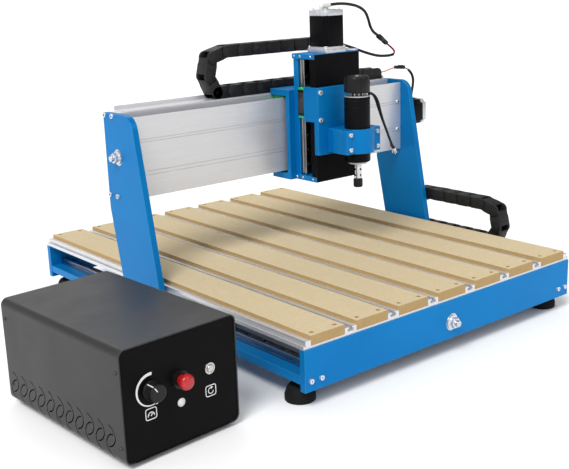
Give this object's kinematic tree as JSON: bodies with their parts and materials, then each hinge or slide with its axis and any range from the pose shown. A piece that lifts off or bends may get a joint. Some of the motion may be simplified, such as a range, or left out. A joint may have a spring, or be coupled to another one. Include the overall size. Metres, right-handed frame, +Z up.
{
  "type": "cnc router",
  "caption": "Gantry router with a slatted T-slot table, a spindle on a lifting slide, cable chains and a separate control box.",
  "frame": {"origin": "on the floor, at the middle of the floor area that the machine and its control box cover together", "axes": "+X along the gantry to the right as seen from the front, +Y from the front plate to the rear motor, +Z up"},
  "size_m": [1.1378, 0.987, 0.614],
  "materials": {
    "blue_metal": "blue anodised, satin",
    "aluminium": "natural anodised, satin",
    "board": "medium-density fibreboard, matt",
    "rubber": "matt moulded rubber",
    "steel": "ground and plated steel",
    "chain_plastic": "moulded nylon",
    "black_sheet": "fine-textured black powder coat",
    "motor_black": "satin black",
    "cable": "soft black insulation",
    "grey_sheet": "fine-textured dark grey powder coat",
    "circuit_board": "green solder mask",
    "black_plastic": "moulded",
    "red_plastic": "moulded red",
    "button_metal": "plated"
  },
  "bodies": {
    "base": {"front_plate": "blue_metal", "rear_plate": "blue_metal", "side_beams": "blue_metal", "table_profiles": "aluminium", "table_slats": "board", "base_screws": "steel", "rubber_feet": "rubber", "y_rails": "steel", "y_bearings": "steel", "y_motor": "motor_black", "y_chain_tray": "black_sheet", "y_chain_lower": "chain_plastic", "box_shell": "grey_sheet", "box_front_panel": "black_sheet", "box_base": "black_sheet", "power_supply": "grey_sheet", "driver_board": "circuit_board"},
    "long_screw": {"y_screw": "steel"},
    "long_chain_bend": {"y_chain_bend": "chain_plastic"},
    "gantry": {"gantry_plate_left": "blue_metal", "gantry_plate_right": "blue_metal", "gantry_beam": "aluminium", "gantry_screws": "steel", "gantry_crossmember": "blue_metal", "y_blocks": "steel", "y_ball_nut": "steel", "x_rails": "steel", "x_bearings": "steel", "x_motor": "motor_black", "x_motor_lead": "cable", "x_chain_tray": "black_sheet", "x_chain_lower": "chain_plastic", "y_chain_upper": "chain_plastic"},
    "cross_screw": {"x_screw": "steel"},
    "cross_chain_bend": {"x_chain_bend": "chain_plastic"},
    "cross_carriage": {"x_carriage_plate": "blue_metal", "x_blocks": "steel", "x_ball_nut": "steel", "z_back_plate": "blue_metal", "z_end_plates": "blue_metal", "z_rails": "steel", "z_cover": "black_sheet", "z_motor": "motor_black", "z_bearings": "steel", "z_motor_lead": "cable", "x_chain_upper": "chain_plastic"},
    "lift_screw": {"z_screw": "steel"},
    "lift_slide": {"z_blocks": "steel", "z_saddle": "blue_metal", "z_ball_nut": "steel", "spindle_clamp": "blue_metal", "spindle_body": "motor_black", "spindle_cap": "motor_black", "spindle_leads": "cable", "spindle_terminals": "steel"},
    "spindle_rotor": {"spindle_shaft": "steel", "collet_nut": "motor_black"},
    "knob": {"speed_knob": "black_plastic"},
    "stop": {"stop_button": "red_plastic"},
    "reset": {"reset_button": "button_metal"}
  },
  "joints": [
    {"name": "y_slide", "type": "slide", "parent": "base", "child": "gantry", "axis": [0, 1, 0], "range_m": [-0.3, 0.285], "deforming": ["y_chain_lower", "y_chain_upper"]},
    {"name": "x_slide", "type": "slide", "parent": "gantry", "child": "cross_carriage", "axis": [1, 0, 0], "range_m": [-0.34, 0.19], "deforming": ["x_chain_lower", "x_chain_upper"]},
    {"name": "z_slide", "type": "slide", "parent": "cross_carriage", "child": "lift_slide", "axis": [0, 0, 1], "range_m": [-0.09, 0.04]},
    {"name": "spindle_spin", "type": "hinge", "parent": "lift_slide", "child": "spindle_rotor", "pos_m": [0.19405, -0.1555, 0.28], "axis": [0, 0, 1], "continuous": true},
    {"name": "y_screw_turn", "type": "hinge", "parent": "base", "child": "long_screw", "pos_m": [0.11555, -0.0345, 0.06], "axis": [0, 1, 0], "range_deg": [-21601, 20521]},
    {"name": "x_screw_turn", "type": "hinge", "parent": "gantry", "child": "cross_screw", "pos_m": [0.11555, 0.0275, 0.35], "axis": [1, 0, 0], "range_deg": [-24481, 13681]},
    {"name": "z_screw_turn", "type": "hinge", "parent": "cross_carriage", "child": "lift_screw", "pos_m": [0.19405, -0.0685, 0.38], "axis": [0, 0, 1], "range_deg": [-6481, 2881]},
    {"name": "y_chain_roll", "type": "slide", "parent": "base", "child": "long_chain_bend", "axis": [0, 1, 0], "range_m": [-0.15, 0.1425]},
    {"name": "x_chain_roll", "type": "slide", "parent": "gantry", "child": "cross_chain_bend", "axis": [1, 0, 0], "range_m": [-0.17, 0.095]},
    {"name": "knob_turn", "type": "hinge", "parent": "base", "child": "knob", "pos_m": [-0.49754, -0.45089, 0.11], "axis": [0.061, -0.9981, 0], "range_deg": [-150, 150]},
    {"name": "stop_press", "type": "slide", "parent": "base", "child": "stop", "axis": [-0.061, 0.9981, 0], "range_m": [0, 0.005], "stiffness_N_per_m": 900},
    {"name": "reset_press", "type": "slide", "parent": "base", "child": "reset", "axis": [-0.061, 0.9981, 0], "range_m": [0, 0.002], "stiffness_N_per_m": 500}
  ],
  "couplings": [
    {"joint": "y_screw_turn", "follows": "y_slide", "rad_per_m": 1256.6},
    {"joint": "x_screw_turn", "follows": "x_slide", "rad_per_m": 1256.6},
    {"joint": "z_screw_turn", "follows": "z_slide", "rad_per_m": 1256.6},
    {"joint": "y_chain_roll", "follows": "y_slide", "ratio": 0.5},
    {"joint": "x_chain_roll", "follows": "x_slide", "ratio": 0.5}
  ]
}
